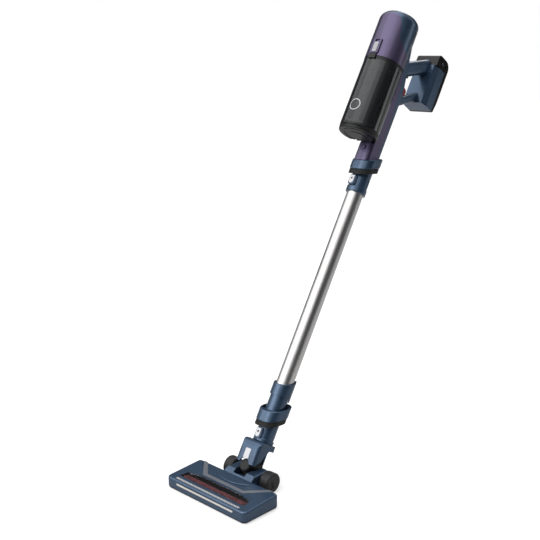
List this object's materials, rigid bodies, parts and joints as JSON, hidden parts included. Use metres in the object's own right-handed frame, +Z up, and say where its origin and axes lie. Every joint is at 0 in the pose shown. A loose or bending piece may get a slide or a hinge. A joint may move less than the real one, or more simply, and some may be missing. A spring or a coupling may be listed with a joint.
{
  "type": "cordless stick vacuum",
  "caption": "Cordless stick vacuum: motor and clear dust bin above a metal wand, trigger handle with slide-out battery, and a steering floor head with a powered brush roll.",
  "frame": {"origin": "centre of the hand grip", "axes": "+Z up with the wheels and rollers level below, -Y to the front of the floor head, +X to the machine's own left when seen from the front"},
  "size_m": [0.24, 0.7992, 1.0081],
  "materials": {
    "navy": "satin metallic blue-grey",
    "purple": "satin metallic violet",
    "black_gloss": "glossy smoked black",
    "black_satin": "satin",
    "white_label": "satin",
    "pale_grey": "satin",
    "led_lens": "frosted",
    "red": "gloss",
    "steel": "polished",
    "steel_pin": "brushed",
    "rubber": "matte",
    "wheel": "matte",
    "roll": "satin",
    "bristle": "nylon bristle",
    "motor_metal": "brushed",
    "grey_inner": "satin",
    "filter": "pleated felt",
    "cell": "wrapped",
    "board": "matte"
  },
  "bodies": {
    "handheld": {"inlet_collar": "navy", "inlet_collar_ring": "black_satin", "front_housing": "purple", "rear_housing": "navy", "suction_motor": "motor_metal", "exhaust_filter": "filter", "handle_grip": "navy", "handle_brace": "navy", "battery_holder": "navy"},
    "trigger": {"trigger": "red"},
    "boost_button": {"boost_button": "black_satin"},
    "bin_slider": {"bin_release_slider": "black_satin"},
    "lid_button": {"lid_release_button": "purple"},
    "impeller": {"impeller": "grey_inner"},
    "battery": {"battery_pack": "black_gloss", "battery_cells": "cell"},
    "battery_latch": {"battery_latch": "black_satin"},
    "dust_bin": {"dust_bin": "black_gloss", "bin_top_ring": "black_satin", "bin_base": "black_satin", "lid_pin": "steel_pin", "cyclone_cone": "grey_inner", "cyclone_shroud": "grey_inner", "pre_filter": "filter"},
    "bin_lid": {"bin_lid": "black_satin"},
    "wand": {"wand_tube": "steel", "wand_lower_sleeve": "navy", "wand_lower_collar": "navy", "wand_collar_ring": "black_satin", "wand_end_ring": "navy", "wand_upper_sleeve": "navy"},
    "upper_button": {"upper_release_button": "white_label"},
    "neck": {"neck_tube": "navy", "yoke": "navy", "yoke_plate": "pale_grey", "ribbed_hose": "rubber", "steering_pin": "steel_pin"},
    "lower_button": {"lower_release_button": "white_label"},
    "elbow": {"elbow": "black_satin"},
    "floor_head": {"head_upper_shell": "navy", "brush_window": "black_gloss", "trim_band": "pale_grey", "front_bar": "pale_grey", "light_lens": "led_lens", "light_board": "board", "sole_plate": "black_satin", "sole_screws": "steel_pin", "roll_bearings": "steel_pin", "brush_motor": "motor_metal", "drive_belt": "rubber", "axle_pins": "steel_pin"},
    "brush": {"brush_roll": "roll", "brush_strips": "bristle", "roll_pulley": "black_satin"},
    "motor_pulley": {"motor_pulley": "black_satin"},
    "wheel_left": {"wheel_left": "wheel"},
    "wheel_right": {"wheel_right": "wheel"},
    "roller_left": {"front_roller_left": "wheel"},
    "roller_right": {"front_roller_right": "wheel"}
  },
  "joints": [
    {"name": "trigger_pull", "type": "slide", "parent": "handheld", "child": "trigger", "axis": [0, -0.8599, 0.5105], "range_m": [0, 0.005], "stiffness_N_per_m": 300, "springref_m": -0.002},
    {"name": "boost_press", "type": "slide", "parent": "handheld", "child": "boost_button", "axis": [0, -0.0576, 0.9983], "range_m": [0, 0.0015], "stiffness_N_per_m": 400, "springref_m": -0.001},
    {"name": "bin_slider_lift", "type": "slide", "parent": "handheld", "child": "bin_slider", "axis": [0, 0.5105, 0.8599], "range_m": [0, 0.007], "stiffness_N_per_m": 150, "springref_m": -0.001},
    {"name": "lid_button_press", "type": "slide", "parent": "handheld", "child": "lid_button", "axis": [0, 0.8599, -0.5105], "range_m": [0, 0.002], "stiffness_N_per_m": 400, "springref_m": -0.001},
    {"name": "impeller_spin", "type": "hinge", "parent": "handheld", "child": "impeller", "pos_m": [0, -0.12116, 0.01728], "axis": [0, 0.5105, 0.8599], "continuous": true},
    {"name": "battery_out", "type": "slide", "parent": "handheld", "child": "battery", "axis": [0, 0.8599, -0.5105], "range_m": [0, 0.06]},
    {"name": "battery_latch_press", "type": "slide", "parent": "battery", "child": "battery_latch", "axis": [0, -0.8599, 0.5105], "range_m": [0, 0.0015], "stiffness_N_per_m": 400, "springref_m": -0.001},
    {"name": "bin_out", "type": "slide", "parent": "handheld", "child": "dust_bin", "axis": [0, -0.8599, 0.5105], "range_m": [0, 0.1]},
    {"name": "lid_open", "type": "hinge", "parent": "dust_bin", "child": "bin_lid", "pos_m": [0, -0.19324, -0.15798], "axis": [1, 0, 0], "range_deg": [0, 70]},
    {"name": "wand_out", "type": "slide", "parent": "handheld", "child": "wand", "axis": [0, -0.5105, -0.8599], "range_m": [0, 0.05]},
    {"name": "upper_button_press", "type": "slide", "parent": "wand", "child": "upper_button", "axis": [0, 0.8599, -0.5105], "range_m": [0, 0.0015], "stiffness_N_per_m": 400, "springref_m": -0.001},
    {"name": "neck_out", "type": "slide", "parent": "wand", "child": "neck", "axis": [0, -0.5105, -0.8599], "range_m": [0, 0.05]},
    {"name": "lower_button_press", "type": "slide", "parent": "neck", "child": "lower_button", "axis": [0, 0.8599, -0.5105], "range_m": [0, 0.0015], "stiffness_N_per_m": 400, "springref_m": -0.001},
    {"name": "head_steer", "type": "hinge", "parent": "neck", "child": "elbow", "pos_m": [0, -0.55692, -0.84394], "axis": [0, 0.8599, -0.5105], "range_deg": [-15, 15]},
    {"name": "head_pitch", "type": "hinge", "parent": "elbow", "child": "floor_head", "pos_m": [0, -0.56407, -0.85598], "axis": [1, 0, 0], "range_deg": [-15, 50]},
    {"name": "brush_spin", "type": "hinge", "parent": "floor_head", "child": "brush", "pos_m": [0, -0.67007, -0.86448], "axis": [1, 0, 0], "continuous": true},
    {"name": "motor_spin", "type": "hinge", "parent": "floor_head", "child": "motor_pulley", "pos_m": [0, -0.63007, -0.86048], "axis": [1, 0, 0], "continuous": true},
    {"name": "wheel_left_spin", "type": "hinge", "parent": "floor_head", "child": "wheel_left", "pos_m": [-0.056, -0.56407, -0.85598], "axis": [1, 0, 0], "continuous": true},
    {"name": "wheel_right_spin", "type": "hinge", "parent": "floor_head", "child": "wheel_right", "pos_m": [0.056, -0.56407, -0.85598], "axis": [1, 0, 0], "continuous": true},
    {"name": "roller_left_spin", "type": "hinge", "parent": "floor_head", "child": "roller_left", "pos_m": [-0.093, -0.69557, -0.87438], "axis": [1, 0, 0], "continuous": true},
    {"name": "roller_right_spin", "type": "hinge", "parent": "floor_head", "child": "roller_right", "pos_m": [0.093, -0.69557, -0.87438], "axis": [1, 0, 0], "continuous": true}
  ],
  "couplings": [
    {"joint": "motor_spin", "follows": "brush_spin", "ratio": 1.5556}
  ]
}
